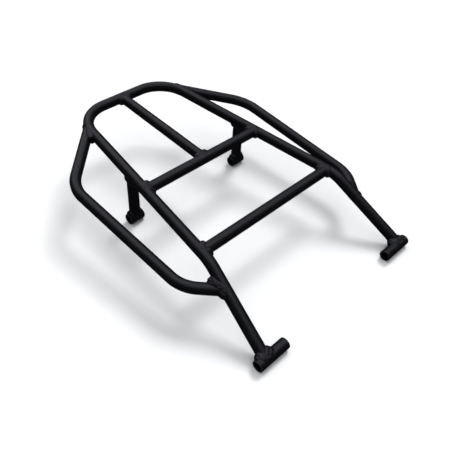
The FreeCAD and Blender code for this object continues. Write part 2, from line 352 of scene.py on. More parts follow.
@dataclass(frozen=True)
class RackPlan:
    """Driving points of the rack, on the right half and in metres."""

    bend_radius: float = 60 * MM
    tube_wall: float = 2 * MM
    tail_corner: Triple = (94 * MM, 255.5 * MM, 101 * MM)
    front_bend: Triple = (141.5 * MM, -122.5 * MM, 83 * MM)
    foot_x: float = 159.5 * MM
    rear_crossbar_y: float = 39.5 * MM
    front_crossbar_y: float = -106 * MM
    side_start_share: float = 0.8
    side_rear: Triple = (191.5 * MM, 130 * MM, 76.5 * MM)
    side_front: Triple = (187 * MM, -118 * MM, 57.5 * MM)
    side_end_share: float = 0.31

    @staticmethod
    def sleeve_bore(end: End, side: Side) -> Dict:
        """Bore of one sleeve, as the record gives it."""
        name = f"{side.word}_{end.value}_bolt_bore"
        return next(mount for mount in frame["record"]["mounts"] if mount["name"] == name)

    def sleeve_axis(self, end: End, side: Side) -> Centreline:
        """Find the axis of one sleeve.

        Args:
            end: Front or rear.
            side: Half of the rack.

        Returns:
            The axis, from -X to +X.
        """
        bore = self.sleeve_bore(end, side)
        middle = np.array(bore["pos_m"])
        half = np.array([bore["dims"]["length_mm"] * MM / 2, 0.0, 0.0])
        return Centreline([middle - half, middle + half])

    @property
    def tube_radius(self) -> float:
        """Outside radius of every tube: the sleeves' axes lie this high above the ground plane."""
        return self.sleeve_bore(End.FRONT, Side.RIGHT)["pos_m"][2]

    @property
    def foot(self) -> Array:
        """Where the front leg meets its sleeve's axis."""
        return np.array([self.foot_x, *self.sleeve_bore(End.FRONT, Side.RIGHT)["pos_m"][1:]])

    @property
    def rear_foot(self) -> Array:
        """Where the rear leg meets its sleeve's axis."""
        return np.array(self.sleeve_bore(End.REAR, Side.RIGHT)["pos_m"])

    def rail_point(self, y: float) -> Array:
        """Point of the right rail's centreline at a given Y."""
        bend, tail = np.array(self.front_bend), np.array(self.tail_corner)
        return bend + (tail - bend) * (y - bend[1]) / (tail[1] - bend[1])

    @property
    def rear_leg_top(self) -> Array:
        """Top of the upright rear leg, on the rail's centreline height."""
        foot = self.rear_foot
        return np.array([foot[0], foot[1], self.rail_point(foot[1])[2]])

    @property
    def tail_middle(self) -> Array:
        """Middle of the tail run."""
        return np.array([0.0, *self.tail_corner[1:]])

    @property
    def side_start(self) -> Array:
        """Where the side rail leaves the tail bend."""
        arc = Centreline.rounded(
            self.tail_middle, np.array(self.tail_corner), np.array(self.front_bend), self.bend_radius)
        return arc.centre + turned(arc.spoke, arc.axis, arc.turn * self.side_start_share)

    @property
    def side_end(self) -> Array:
        """Where the side rail joins the front leg."""
        bend = np.array(self.front_bend)
        return bend + (self.foot - bend) * self.side_end_share

    def hoop(self) -> Centreline:
        """Lay out the hoop.

        Returns:
            Its centreline, from the left foot round the tail to the right foot.
        """
        half = [self.foot, np.array(self.front_bend), np.array(self.tail_corner)]
        left = [Side.LEFT.place(point) for point in half]
        return Centreline(left + half[::-1], self.bend_radius)

    def side_rail(self, side: Side) -> Centreline:
        """Centreline of one side rail, from the tail bend to the front leg."""
        points = [self.side_start, np.array(self.side_rear), np.array(self.side_front), self.side_end]
        return Centreline([side.place(point) for point in points], self.bend_radius)

    def crossbar(self, y: float) -> Centreline:
        """Centreline of a crossbar, from the left rail to the right rail."""
        point = self.rail_point(y)
        return Centreline([Side.LEFT.place(point), point])

    def centre_bar(self) -> Centreline:
        """Centreline of the centre bar, from the tail to the rear crossbar."""
        cross = self.rail_point(self.rear_crossbar_y) * np.array([0.0, 1.0, 1.0])
        return Centreline([self.tail_middle, cross])

    def rear_leg(self, side: Side) -> Centreline:
        """Centreline of one rear leg, from the rail down to its sleeve."""
        return Centreline([side.place(self.rear_leg_top), side.place(self.rear_foot)])


# ---------------------------------------------------------------- node graphs


class Blend(Enum):
    """What a Mix node blends: its type, and the numbers of its two inputs and of its output."""

    NUMBERS = ("FLOAT", 2, 3, 0)
    COLOURS = ("RGBA", 6, 7, 2)


@dataclass(frozen=True)
class Texture:
    """One layer of noise: the width of a bump, its number of finer layers and their strength."""

    size: float
    detail: float
    roughness: float


class Graph:
    """Nodes of one material or world, with short ways to add more."""

    def __init__(self, owner: Union[bpy.types.Material, bpy.types.World]) -> None:
        """Take over the nodes.

        Args:
            owner: The material or world that they belong to.
        """
        owner.use_nodes = True
        self.nodes = owner.node_tree.nodes
        self.links = owner.node_tree.links

    def feed(self, socket: bpy.types.NodeSocket, value: Value) -> None:
        """Link an input to an output, or set it to a plain value.

        Args:
            socket: The input.
            value: An output, a number or a colour.
        """
        if isinstance(value, bpy.types.NodeSocket):
            self.links.new(value, socket)
        else:
            socket.default_value = value

    def arithmetic(self, operation: str, *values: Value) -> Output:
        """Add one step of arithmetic.

        Args:
            operation: Name of the step.
            values: Its numbers, or the outputs that hold them.

        Returns:
            The result.
        """
        step = self.nodes.new("ShaderNodeMath")
        step.operation = operation
        for socket, value in zip(step.inputs, values):
            self.feed(socket, value)
        return step.outputs["Value"]

    def ramp(self, value: Output, span: Pair, levels: Pair, shape: str = "LINEAR") -> Output:
        """Add a slope from one level to another.

        Args:
            value: The number to step on.
            span: Where the slope starts and ends.
            levels: Levels before and after it.
            shape: Interpolation of the slope.

        Returns:
            The level.
        """
        step = self.nodes.new("ShaderNodeMapRange")
        step.interpolation_type = shape
        names = ("From Min", "From Max", "To Min", "To Max")
        for name, number in zip(names, span + levels):
            step.inputs[name].default_value = number
        self.feed(step.inputs["Value"], value)
        return step.outputs["Result"]

    def mix(self, blend: Blend, share: Value, first: Value, second: Value) -> Output:
        """Blend two values.

        Args:
            blend: Whether they are numbers or colours.
            share: How much of the second there is.
            first: First value.
            second: Second value.

        Returns:
            The blend.
        """
        kind, first_input, second_input, output = blend.value
        step = self.nodes.new("ShaderNodeMix")
        step.data_type = kind
        self.feed(step.inputs["Factor"], share)
        self.feed(step.inputs[first_input], first)
        self.feed(step.inputs[second_input], second)
        return step.outputs[output]

    def colours(self, value: Output, stops: Sequence[Tuple[float, Sequence[float]]]) -> Output:
        """Add a ramp between two colours.

        Args:
            value: The number that picks the colour.
            stops: Position and colour of both ends.

        Returns:
            The colour.
        """
        step = self.nodes.new("ShaderNodeValToRGB")
        for element, (position, colour) in zip(step.color_ramp.elements, stops):
            element.position = position
            element.color = colour
        self.feed(step.inputs["Fac"], value)
        return step.outputs["Color"]

    def noise(self, place: Output, texture: Texture) -> Output:
        """Add one layer of noise.

        Args:
            place: Position on the piece.
            texture: The layer.

        Returns:
            The noise's value.
        """
        node = self.nodes.new("ShaderNodeTexNoise")
        node.inputs["Scale"].default_value = 1.0 / texture.size
        node.inputs["Detail"].default_value = texture.detail
        node.inputs["Roughness"].default_value = texture.roughness
        self.feed(node.inputs["Vector"], place)
        return node.outputs["Fac"]


# ---------------------------------------------------------------- finishes


def toned(shade: Triple, factor: float) -> Tuple[float, float, float, float]:
    """Opaque colour: a shade made lighter or darker by a factor."""
    return (*[part * factor for part in shade], 1.0)


@dataclass(frozen=True)
class PowderCoat:
    """Satin powder coat: near-black polyester with a fine pebbled skin.

    Tones are factors of the shade, and spans are the levels of noise between which something changes.
    """

    slot: Slot
    shade: Triple = (0.0034, 0.0034, 0.0042)
    # Paler shade that paints a highlight on rims and ripple crests, partly worn coat.
    worn_shade: Triple = (0.05, 0.05, 0.053)
    sheen_tint: Triple = (0.865, 0.87, 1.0)
    specular: float = 0.435
    refraction: float = 1.5
    roughness: Pair = (0.29, 0.39)
    patches: Texture = Texture(22 * MM, 4.0, 0.6)
    pebbles: Texture = Texture(0.9 * MM, 2.0, 0.45)
    grain: Texture = Texture(0.28 * MM, 3.0, 0.7)
    mottle_span: Pair = (0.3, 0.72)
    mottle_tones: Pair = (0.82, 1.25)
    fleck_span: Pair = (0.62, 0.8)
    fleck_share: float = 0.35
    fleck_tone: float = 2.4
    roughness_span: Pair = (0.3, 0.7)
    pebble_share: float = 0.35
    pebble_height: float = 0.13 * MM
    grain_share: float = 0.3

    def material(self) -> bpy.types.Material:
        """Build the finish.

        Returns:
            A material that needs no image and no UV map.
        """
        material = bpy.data.materials.new(self.slot.value)
        graph = Graph(material)
        shader = graph.nodes["Principled BSDF"]
        place = graph.nodes.new("ShaderNodeTexCoord").outputs["Object"]
        patches = graph.noise(place, self.patches)
        pebbles = graph.noise(place, self.pebbles)
        grain = graph.noise(place, self.grain)
        uneven = graph.mix(Blend.NUMBERS, self.pebble_share, patches, pebbles)

        graph.feed(shader.inputs["Base Color"], self.tint(graph, patches, grain))
        graph.feed(shader.inputs["Roughness"], graph.ramp(uneven, self.roughness_span, self.roughness))
        graph.feed(shader.inputs["Normal"], self.skin(graph, pebbles, grain))
        shader.inputs["Metallic"].default_value = 0.0
        shader.inputs["IOR"].default_value = self.refraction
        shader.inputs["Specular IOR Level"].default_value = self.specular
        shader.inputs["Specular Tint"].default_value = (*self.sheen_tint, 1.0)
        return material

    def tint(self, graph: Graph, patches: Output, grain: Output) -> Output:
        """Colour: faint mottling, fine flecks, and a paler shade that paints a highlight on rims and
        ripple crests, partly standing for thin, worn coat.

        Args:
            graph: Nodes of the material.
            patches: Broad noise.
            grain: Fine noise.

        Returns:
            The colour.
        """
        tones = [toned(self.shade, tone) for tone in self.mottle_tones]
        mottle = graph.colours(patches, list(zip(self.mottle_span, tones)))
        flecks = graph.ramp(grain, self.fleck_span, (0.0, self.fleck_share))
        flecked = graph.mix(Blend.COLOURS, flecks, mottle, toned(self.shade, self.fleck_tone))
        # Paints a highlight where the point attribute is high, broken up by the broad noise; partly worn
        # coat.
        highlight_and_thinness = graph.nodes.new("ShaderNodeAttribute")
        highlight_and_thinness.attribute_name = PAINTED_HIGHLIGHT_AND_THIN_COAT
        patchy_highlight_and_wear = graph.arithmetic("MULTIPLY", highlight_and_thinness.outputs["Fac"], patches)
        return graph.mix(Blend.COLOURS, patchy_highlight_and_wear, flecked, toned(self.worn_shade, 1.0))

    def skin(self, graph: Graph, pebbles: Output, grain: Output) -> Output:
        """Relief: pebbled skin with fine grain on it.

        Args:
            graph: Nodes of the material.
            pebbles: Noise of the skin.
            grain: Fine noise.

        Returns:
            The normal.
        """
        bump = graph.nodes.new("ShaderNodeBump")
        bump.inputs["Strength"].default_value = 1.0
        bump.inputs["Distance"].default_value = self.pebble_height
        relief = graph.arithmetic("MULTIPLY_ADD", grain, self.grain_share, pebbles)
        graph.feed(bump.inputs["Height"], relief)
        return bump.outputs["Normal"]


FINISHES: Dict[Slot, bpy.types.Material] = {}


# ---------------------------------------------------------------- meshes


def grid_faces(rows: int, columns: int, closed_rows: bool, base: int = 0, flip: bool = False) -> Faces:
    """Faces of a grid of points whose columns close into a ring.

    Args:
        rows: Number of rings.
        columns: Number of points in a ring.
        closed_rows: Whether the last ring joins the first.
        base: Index of the first point.
        flip: Whether the faces look the other way.

    Returns:
        Four-sided faces.
    """
    faces: Faces = []
    for row in range(rows if closed_rows else rows - 1):
        below = base + row * columns
        above = base + (row + 1) % rows * columns
        for column in range(columns):
            following = (column + 1) % columns
            face = (below + column, below + following, above + following, above + column)
            faces.append(face[::-1] if flip else face)
    return faces


def facing_out(points: Array, faces: Faces) -> Faces:
    """Turn all faces over if the closed shape they make is inside out.

    Args:
        points: Rows of points.
        faces: Four-sided faces by point number.

    Returns:
        The faces, looking outwards.
    """
    corners = points[np.array(faces)]
    volume = np.sum(np.cross(corners[:, 0], corners[:, 1]) * corners[:, 2])
    volume += np.sum(np.cross(corners[:, 0], corners[:, 2]) * corners[:, 3])
    return faces if volume > 0 else [face[::-1] for face in faces]


def add_piece(
    name: str,
    points: Array,
    faces: Faces,
    slot: Slot,
    highlight_and_thinness: Optional[Array] = None,
    sharp_angle: float = 40.0,
) -> bpy.types.Object:
    """Make one piece of the rack and hang it on the frame.

    Args:
        name: Name of the CAD node that the piece stands for.
        points: Rows of points in the row frame.
        faces: Faces by point number.
        slot: Material slot of the record.
        highlight_and_thinness: Share of painted highlight at each point, from 0 to 1, partly standing for
            thin, worn coat.
        sharp_angle: Edges that turn by more degrees stay crisp.

    Returns:
        The piece.
    """
    coated = f"coated_{name}"
    mesh = bpy.data.meshes.new(coated)
    mesh.from_pydata(points.tolist(), [], facing_out(points, faces))
    mesh.validate()
    # Per-point share of painted highlight, partly thin, worn coat.
    attribute = mesh.attributes.new(PAINTED_HIGHLIGHT_AND_THIN_COAT, "FLOAT", "POINT")
    values = np.zeros(len(points), np.float32) if highlight_and_thinness is None else highlight_and_thinness.astype(np.float32)
    attribute.data.foreach_set("value", values)
    mesh.materials.append(FINISHES[slot])
    piece = bpy.data.objects.new(coated, mesh)
    bpy.context.scene.collection.objects.link(piece)
    mesh.shade_smooth()
    mesh.set_sharp_from_angle(angle=math.radians(sharp_angle))
    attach(piece, BODY)
    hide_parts(name)
    log.info("%s: %d points, %d faces", name, len(points), len(faces))
    return piece


@dataclass(frozen=True)
class Joint:
    """The coped end of a branch tube against the tube that it meets."""

    branch: Centreline
    main: Centreline
    radius: float
    search_radii: float = 6.5
    search_steps: int = 260
    halvings: int = 24

    def ring(self, angles: Array) -> Array:
        """Lay points round the branch's skin.

        Args:
            angles: Angles round its axis.

        Returns:
            Rows of offsets from the axis.
        """
        across = square_to(self.branch.heading)
        other = np.cross(self.branch.heading, across)
        return self.radius * (np.cos(angles)[:, None] * across + np.sin(angles)[:, None] * other)

    def depths(self, offsets: Array) -> Array:
        """How far along the branch each offset leaves the main tube.

        Args:
            offsets: Rows of offsets from the branch's axis.

        Returns:
            Distances from the branch's start, zero where the offset never lies inside.
        """
        reach = np.linspace(0.0, self.search_radii * self.radius, self.search_steps)
        inside = np.zeros((len(offsets), len(reach)), bool)
        for number, depth in enumerate(reach):
            inside[:, number] = self.gap(offsets, np.full(len(offsets), depth)) < 0
        last = inside.shape[1] - 1 - inside[:, ::-1].argmax(axis=1)
        last = np.where(inside.any(axis=1), last, 0)
        low = reach[last]
        high = reach[np.minimum(last + 1, len(reach) - 1)]
        for _ in range(self.halvings):
            middle = (low + high) / 2
            deeper = self.gap(offsets, middle) < 0
            low = np.where(deeper, middle, low)
            high = np.where(deeper, high, middle)
        return np.where(inside.any(axis=1), high, 0.0)

    def gap(self, offsets: Array, depths: Array) -> Array:
        """Distance of points on the branch from the main tube's skin, negative inside it."""
        points = self.branch.start + offsets + depths[:, None] * self.branch.heading
        return np.linalg.norm(points - self.main.closest(points), axis=1) - self.radius


@dataclass
class Tube:
    """Hollow round tube along a centreline, coped to what it meets at each end."""

    name: str
    line: Centreline
    radius: float
    wall: float
    start_main: Centreline
    end_main: Centreline
    sides: int = 80
    straight_step: float = 7 * MM
    bend_step: float = math.radians(1.6)
    cope_zone: float = 46 * MM

    def build(self) -> bpy.types.Object:
        """Make the tube.

        Returns:
            The piece, with its outer skin, its bore and both coped ends.
        """
        rings = list(self.line.rings(self.straight_step, self.bend_step))
        outer = self.skin(rings, self.radius)
        inner = self.skin(rings, self.radius - self.wall)
        count = len(rings)
        points = np.concatenate([outer, inner]).reshape(-1, 3)
        base = count * self.sides
        faces = grid_faces(count, self.sides, False, flip=True)
        faces += grid_faces(count, self.sides, False, base)
        for ring, flip in ((0, False), (count - 1, True)):
            for side in range(self.sides):
                following = (side + 1) % self.sides
                near = ring * self.sides
                face = (
                    near + side, near + following, base + near + following, base + near + side)
                faces.append(face[::-1] if flip else face)
        return add_piece(self.name, points, faces, Slot.FRAME)

    def skin(self, rings: Sequence[Tuple[Array, Array, Array]], radius: float) -> Array:
        """Lay rings of points along the line, with both ends cut to their mains.

        Args:
            rings: Points, tangents and reference vectors along the line.
            radius: Radius of this skin.

        Returns:
            Points by ring and by side.
        """
        angles = np.linspace(0.0, 2 * math.pi, self.sides, endpoint=False)
        skin = np.array([
            point + radius * (
                np.cos(angles)[:, None] * across
                + np.sin(angles)[:, None] * np.cross(tangent, across))
            for point, tangent, across in rings])
        centres = np.array([point for point, _, _ in rings])
        self.cope(skin, centres, self.line, self.start_main)
        self.cope(skin[::-1], centres[::-1], self.line.backwards(), self.end_main)
        return skin

    def cope(self, skin: Array, centres: Array, end: Centreline, main: Centreline) -> None:
        """Slide the rings near one end back so that the first lies on the main tube's skin.

        Args:
            skin: Points by ring and by side, changed in place, with this end's ring first.
            centres: Centre of each ring.
            end: Centreline that sets off from this end.
            main: Centreline of the tube that this end meets.
        """
        joint = Joint(end, main, self.radius)
        depths = joint.depths(skin[0] - end.start)
        zone = min(self.cope_zone, end.pieces[0].length)
        for ring, centre in zip(skin, centres):
            along = float((centre - end.start) @ end.heading)
            if along >= zone or np.linalg.norm(centre - end.start) > self.cope_zone + self.radius:
                break
            ring += (depths * (1.0 - along / zone))[:, None] * end.heading


@dataclass
class Sleeve:
    """Bolt sleeve: a short thick tube along X with softened rims."""

    name: str
    middle: Array
    length: float
    radius: float
    bore: float
    rim: float = 0.7 * MM
    bore_rim: float = 0.45 * MM
    sides: int = 112
    rim_points: int = 6
    run_points: int = 14
    # Rims are painted paler as a highlight, partly standing for worn coat.
    least_wear: float = 0.1

    def wear(self, angle: float) -> float:
        """Painted highlight round a rim, partly thin, worn coat, most at the middle of its curve."""
        return math.sin(2 * angle) * (1.0 - self.least_wear) + self.least_wear

    def profile(self) -> List[Triple]:
        """Cross-section as distance along X, radius and share of painted highlight, partly thin, worn
        coat.

        Returns:
            A closed outline, from the middle of the outer skin round one end, the bore and the other end.
        """
        half = self.length / 2
        right: List[Triple] = []
        for number in range(1, self.run_points + 1):
            right.append(((half - self.rim) * number / self.run_points, self.radius, 0.0))
        for number in range(1, self.rim_points + 1):
            angle = math.pi / 2 * number / self.rim_points
            right.append((
                half - self.rim + self.rim * math.sin(angle),
                self.radius - self.rim + self.rim * math.cos(angle),
                self.wear(angle)))
        for number in range(self.rim_points + 1):
            angle = math.pi / 2 * number / self.rim_points
            right.append((
                half - self.bore_rim + self.bore_rim * math.cos(angle),
                self.bore + self.bore_rim - self.bore_rim * math.sin(angle),
                self.wear(angle)))
        for number in range(self.run_points - 1, 0, -1):
            right.append(((half - self.bore_rim) * number / self.run_points, self.bore, 0.0))
        left = [(-along, radius, highlight_and_thinness) for along, radius, highlight_and_thinness in right[::-1]]
        return [(0.0, self.radius, 0.0)] + right + [(0.0, self.bore, 0.0)] + left

    def build(self) -> bpy.types.Object:
        """Turn the cross-section about the sleeve's axis.

        Returns:
            The piece.
        """
        outline = self.profile()
        points = []
        highlight_and_thinness = []
        for step in range(self.sides):
            angle = 2 * math.pi * step / self.sides
            for along, radius, highlight_and_worn in outline:
                points.append(self.middle + np.array(
                    [along, radius * math.cos(angle), radius * math.sin(angle)]))
                highlight_and_thinness.append(highlight_and_worn)
        faces = grid_faces(self.sides, len(outline), True)
        return add_piece(self.name, np.array(points), faces, Slot.SLEEVE, np.array(highlight_and_thinness))


@dataclass(frozen=True)
class BeadSize:
    """Size of one kind of bead.

    The leg is its reach along each tube, the swell how far it stands over a flat fillet, the pitch the
    length of one ripple, and the groove the depth of the line between two passes. The end gap keeps it
    off the ends of a short main tube.
    """

    leg: float = 5.4 * MM
    swell: float = 1.05 * MM
    ripple: float = 0.95 * MM
    pitch: float = 4.0 * MM
    groove: float = 0.0
    end_gap: Optional[float] = None


@dataclass(frozen=True)
class BeadForm:
    """What all beads share. Widths across a bead are shares of it, and lengths along it are ripples."""

    lump: float = 0.2
    lump_waves: Tuple[int, ...] = (2, 3, 5, 8)
    drift: float = 0.3
    drift_waves: Tuple[int, ...] = (3, 7)
    wave_strength: Pair = (0.4, 1.0)
    heights: Pair = (0.6, 1.3)
    bow: float = 0.9
    overlap: float = 0.95
    dip: float = 0.75
    fade: float = 0.6
    groove_width: float = 0.14
    groove_start: float = 0.92
    groove_slope: float = 6.0
    # Ripple crests are painted paler as a highlight, partly standing for worn coat.
    wear: float = 0.25
    wear_slope: float = 4.0
    half_corner: float = 0.707
    least_opening: float = 0.05
    stretch_limits: Pair = (0.72, 2.0)
    stretch_blur: float = 4.0
    seam_blur: float = 0.4
    skirt: float = 0.6 * MM
    skirt_sink: float = 0.03 * MM
    toe_lift: float = 0.05 * MM
    root: float = 0.7 * MM
    ground_gap: float = 0.6 * MM
    station_step: float = 0.4 * MM
    least_stations: int = 120
    seam_points: int = 720
    across_points: int = 17
    sharp_angle: float = 70.0


@dataclass
class WeldBead:
    """Hand-laid weld bead round a coped joint: overlapping ripples on a lumpy fillet."""

    name: str
    joint: Joint
    size: BeadSize = BeadSize()
    form: BeadForm = BeadForm()

    def seam(self) -> Tuple[Array, float]:
        """Closed line where the branch's skin meets the main's, evenly spaced and a little smoothed.

        Returns:
            The points and the line's length.
        """
        angles = np.linspace(0.0, 2 * math.pi, self.form.seam_points, endpoint=False)
        offsets = self.joint.ring(angles)
        depths = self.joint.depths(offsets)
        seam = self.joint.branch.start + offsets + depths[:, None] * self.joint.branch.heading
        steps = np.linalg.norm(np.roll(seam, -1, axis=0) - seam, axis=1)
        reach = np.concatenate([[0.0], np.cumsum(steps)])
        count = max(self.form.least_stations, round(reach[-1] / self.form.station_step))
        wanted = np.linspace(0.0, reach[-1], count, endpoint=False)
        closed = np.vstack([seam, seam[:1]])
        even = np.stack([np.interp(wanted, reach, closed[:, axis]) for axis in range(3)], axis=1)
        width = self.form.seam_blur * self.size.leg / (reach[-1] / count)
        return self.softened(even, width), float(reach[-1])

    @staticmethod
    def softened(values: Array, width: float) -> Array:
        """Blur rows of values along a closed line.

        Args:
            values: Rows of values.
            width: Spread of the blur, in rows.

        Returns:
            The blurred rows.
        """
        span = int(3 * width) + 1
        shifts = range(-span, span + 1)
        weights = [math.exp(-0.5 * (shift / width) ** 2) for shift in shifts]
        total = sum(weight * np.roll(values, shift, axis=0) for shift, weight in zip(shifts, weights))
        return total / sum(weights)

    def on_main(self, points: Array, lift: float) -> Tuple[Array, Array]:
        """Put points on the main tube's skin, raised by a little.

        Args:
            points: Rows of points.
            lift: Height above the skin.

        Returns:
            The points and the skin's normals.
        """
        gap = self.size.end_gap
        if gap is not None:
            run = self.joint.main.pieces[0]
            along = (points - run.start) @ run.direction
            kept = np.clip(along, gap, run.length - gap)
            points = points + (kept - along)[:, None] * run.direction
        return self.lifted(points, self.joint.main.closest(points), lift)

    def on_branch(self, points: Array, lift: float) -> Tuple[Array, Array]:
        """Put points on the branch's skin, raised by a little, and give the skin's normals too."""
        start, heading = self.joint.branch.start, self.joint.branch.heading
        return self.lifted(points, start + ((points - start) @ heading)[:, None] * heading, lift)

    def lifted(self, points: Array, axis: Array, lift: float) -> Tuple[Array, Array]:
        """Put points at the tubes' radius plus a lift from points of an axis."""
        normal = unit(points - axis)
        return axis + normal * (self.joint.radius + lift), normal

    def unevenness(self, count: int, length: float) -> Tuple[Array, Array, Array]:
        """Slow swelling of the bead and the ripples of the hand that laid it, the same at every run.

        Args:
            count: Number of stations.
            length: Length of the seam.

        Returns:
            The swelling as a factor near one, the ripple number as it grows along the seam, and the
            height of each ripple as a factor near one.
        """
        form = self.form
        dice = random.Random(self.name)
        turn = np.linspace(0.0, 2 * math.pi, count, endpoint=False)
        swelling = np.ones(count)
        for waves in form.lump_waves:
            swelling += form.lump / math.sqrt(waves) * dice.uniform(*form.wave_strength) * np.sin(
                waves * turn + dice.uniform(0.0, 2 * math.pi))
        ripples = round(length / self.size.pitch)
        number = ripples * turn / (2 * math.pi)
        for waves in form.drift_waves:
            number = number + form.drift * dice.uniform(*form.wave_strength) * np.sin(
                waves * turn + dice.uniform(0.0, 2 * math.pi))
        heights = np.array([dice.uniform(*form.heights) for _ in range(ripples)])
        return swelling, number, heights

    def ways(self, seam: Array) -> Tuple[Array, Array, Array]:
        """Directions in which the bead spreads from its seam.

        Args:
            seam: Rows of points along the seam.

        Returns:
            Along the main tube's skin, along the branch's skin, and outwards between the two.
        """
        heading = self.joint.branch.heading
        _, main_normal = self.on_main(seam, 0.0)
        _, branch_normal = self.on_branch(seam, 0.0)
        tangent = unit(np.roll(seam, -1, axis=0) - np.roll(seam, 1, axis=0))
        main_way = unit(np.cross(main_normal, tangent))
        main_way *= np.sign(np.sum(main_way * (branch_normal - heading), axis=1))[:, None]
        branch_way = unit(np.cross(branch_normal, tangent))
        branch_way *= np.sign(branch_way @ heading)[:, None]
        return main_way, branch_way, unit(main_normal + branch_normal)

    def stretch(self, main_way: Array, branch_way: Array) -> Array:
        """How much longer the legs are where the tubes meet at a sharp angle.

        Args:
            main_way: Directions along the main tube's skin.
            branch_way: Directions along the branch's skin.

        Returns:
            A factor for each station.
        """
        form = self.form
        opening = np.arccos(np.clip(np.sum(main_way * branch_way, axis=1), -1.0, 1.0))
        corner = np.maximum(np.sin(opening / 2), form.least_opening)
        factors = np.clip(form.half_corner / corner, *form.stretch_limits)
        return self.softened(factors[:, None], form.stretch_blur)[:, 0]

    def ripples(self, share: float, number: Array, heights: Array) -> Tuple[Array, float]:
        """Ripples along one line of the bead.

        Args:
            share: Place of the line across the bead, from 0 to 1.
            number: Ripple number at each station.
            heights: Height of each ripple.

        Returns:
            The rise at each station as a share of the ripple's height, and how much of it stays so
            near the bead's sides.
        """
        form = self.form
        bowed = number - form.bow * (2 * share - 1) ** 2
        height = heights[np.floor(bowed).astype(int) % len(heights)]
        phase = 2 * form.overlap * (bowed % 1.0) - form.overlap
        rise = height * (np.sqrt(np.maximum(1.0 - phase ** 2, 0.0)) - form.dip)
        return rise, math.sin(math.pi * share) ** form.fade

    def build(self) -> bpy.types.Object:
        """Make the bead.

        Returns:
            The piece: a closed ring that is rooted in both tubes.
        """
        size, form = self.size, self.form
        seam, length = self.seam()
        count = len(seam)
        main_way, branch_way, out = self.ways(seam)
        swelling, number, heights = self.unevenness(count, length)
        slope = form.groove_slope * (swelling - form.groove_start)
        grooves = size.groove * np.clip(slope, 0.0, 1.0)
        legs = (size.leg * self.stretch(main_way, branch_way) * swelling)[:, None]

        main_toe, main_normal = self.on_main(seam + main_way * legs, form.toe_lift)
        branch_toe, branch_normal = self.on_branch(seam + branch_way * legs, form.toe_lift)
        main_skirt, _ = self.on_main(seam + main_way * (legs + form.skirt), -form.skirt_sink)
        branch_skirt, _ = self.on_branch(seam + branch_way * (legs + form.skirt), -form.skirt_sink)
        crown = (main_toe + branch_toe) / 2
        depth = np.sum((seam - crown) * out, axis=1)[:, None]
        crest = crown + out * (np.maximum(depth, 0.0) + 2.0 * size.swell * swelling[:, None])

        rows = [main_skirt]
        highlight_and_thinness = [np.zeros(count)]
        for share in np.linspace(0.0, 1.0, form.across_points):
            fillet = (
                main_toe * (1 - share) ** 2 + crest * 2 * share * (1 - share) + branch_toe * share ** 2)
            rise, window = self.ripples(share, number, heights)
            split = grooves * math.exp(-((share - 0.5) / form.groove_width) ** 2)
            rows.append(fillet + out * (size.ripple * window * rise - split)[:, None])
            # Paint a highlight on the crests of the ripples, partly worn coat.
            highlight_and_thinness.append(form.wear * window * np.clip(form.wear_slope * rise, 0.0, 1.0))
        hidden = [
            branch_skirt,
            branch_toe - branch_normal * form.root,
            seam - out * form.root,
            main_toe - main_normal * form.root,
        ]
        rows += hidden
        highlight_and_thinness += [np.zeros(count)] * len(hidden)

        points = np.stack(rows, axis=1)
        points[:, :, 2] = np.maximum(points[:, :, 2], form.ground_gap)
        return add_piece(
            self.name, points.reshape(-1, 3), grid_faces(count, len(rows), True), Slot.WELD,
            np.stack(highlight_and_thinness, axis=1).ravel(), form.sharp_angle)


# ---------------------------------------------------------------- sub-assemblies


@dataclass
class MainFrame:
    """Hoop, crossbars and centre bar, with the beads between them."""

    plan: RackPlan
    crossbar_bead: BeadSize = BeadSize(ripple=1.2 * MM, pitch=4.8 * MM)
    centre_bead: BeadSize = BeadSize()

    def build(self) -> None:
        """Make the deck of the rack."""
        plan = self.plan
        radius, wall = plan.tube_radius, plan.tube_wall
        hoop, centre = plan.hoop(), plan.centre_bar()
        rear, front = plan.crossbar(plan.rear_crossbar_y), plan.crossbar(plan.front_crossbar_y)
        feet = [plan.sleeve_axis(End.FRONT, side) for side in Side]
        Tube("main_hoop", hoop, radius, wall, *feet).build()
        Tube("rear_crossbar", rear, radius, wall, hoop, hoop).build()
        Tube("front_crossbar", front, radius, wall, hoop, hoop).build()
        Tube("centre_bar", centre, radius, wall, hoop, rear).build()
        for name, bar in (("rear_crossbar", rear), ("front_crossbar", front)):
            for side, branch in ((Side.LEFT, bar), (Side.RIGHT, bar.backwards())):
                joint = Joint(branch, hoop, radius)
                WeldBead(f"{side.word}_{name}_weld", joint, self.crossbar_bead).build()
        tail_joint = Joint(centre, hoop, radius)
        WeldBead("centre_bar_tail_weld", tail_joint, self.centre_bead).build()
        crossbar_joint = Joint(centre.backwards(), rear, radius)
        WeldBead("centre_bar_crossbar_weld", crossbar_joint, self.centre_bead).build()


@dataclass
class SideRails:
    """Bent grab rails outside the deck."""

    plan: RackPlan
    tail_bead: BeadSize = BeadSize()
    leg_bead: BeadSize = BeadSize(leg=6.4 * MM, swell=0.85 * MM, ripple=1.6 * MM, pitch=6.0 * MM)

    def build(self) -> None:
        """Make both side rails and the beads at their ends."""
        hoop = self.plan.hoop()
        radius = self.plan.tube_radius
        for side in Side:
            line = self.plan.side_rail(side)
            rail = f"{side.word}_side_rail"
            Tube(rail, line, radius, self.plan.tube_wall, hoop, hoop).build()
            WeldBead(f"{rail}_tail_weld", Joint(line, hoop, radius), self.tail_bead).build()
            WeldBead(f"{rail}_leg_weld", Joint(line.backwards(), hoop, radius), self.leg_bead).build()


